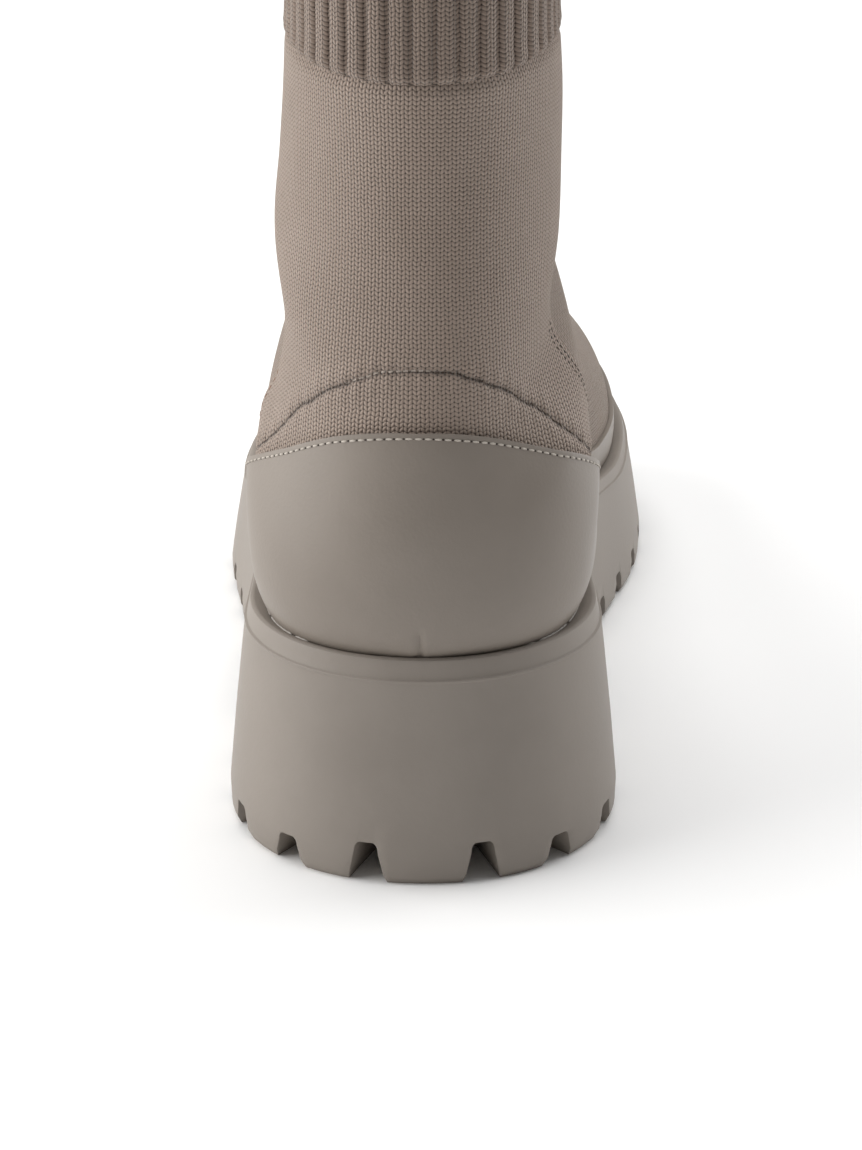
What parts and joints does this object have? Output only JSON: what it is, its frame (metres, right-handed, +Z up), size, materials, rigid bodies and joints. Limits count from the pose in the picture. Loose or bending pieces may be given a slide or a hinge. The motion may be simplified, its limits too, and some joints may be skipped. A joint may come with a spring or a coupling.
{
  "type": "sock boot",
  "caption": "Left ankle sock boot: knitted upper with ribbed cuff, smooth coated heel counter and foxing, on a chunky lugged unit sole.",
  "frame": {"origin": "on the floor under the middle of the boot's bounding box", "axes": "+Y from heel to toe, +X to the inner side of the left foot, +Z up"},
  "size_m": [0.1026, 0.272, 0.2177],
  "materials": {
    "sole_rubber": "matte",
    "knit_fabric": "matte",
    "coated_leather": "satin",
    "lining_fabric": "matte"
  },
  "bodies": {
    "root": {"outsole": "sole_rubber", "insole": "lining_fabric", "upper": "knit_fabric", "cuff": "knit_fabric", "counter": "coated_leather", "foxing": "coated_leather"}
  },
  "joints": []
}
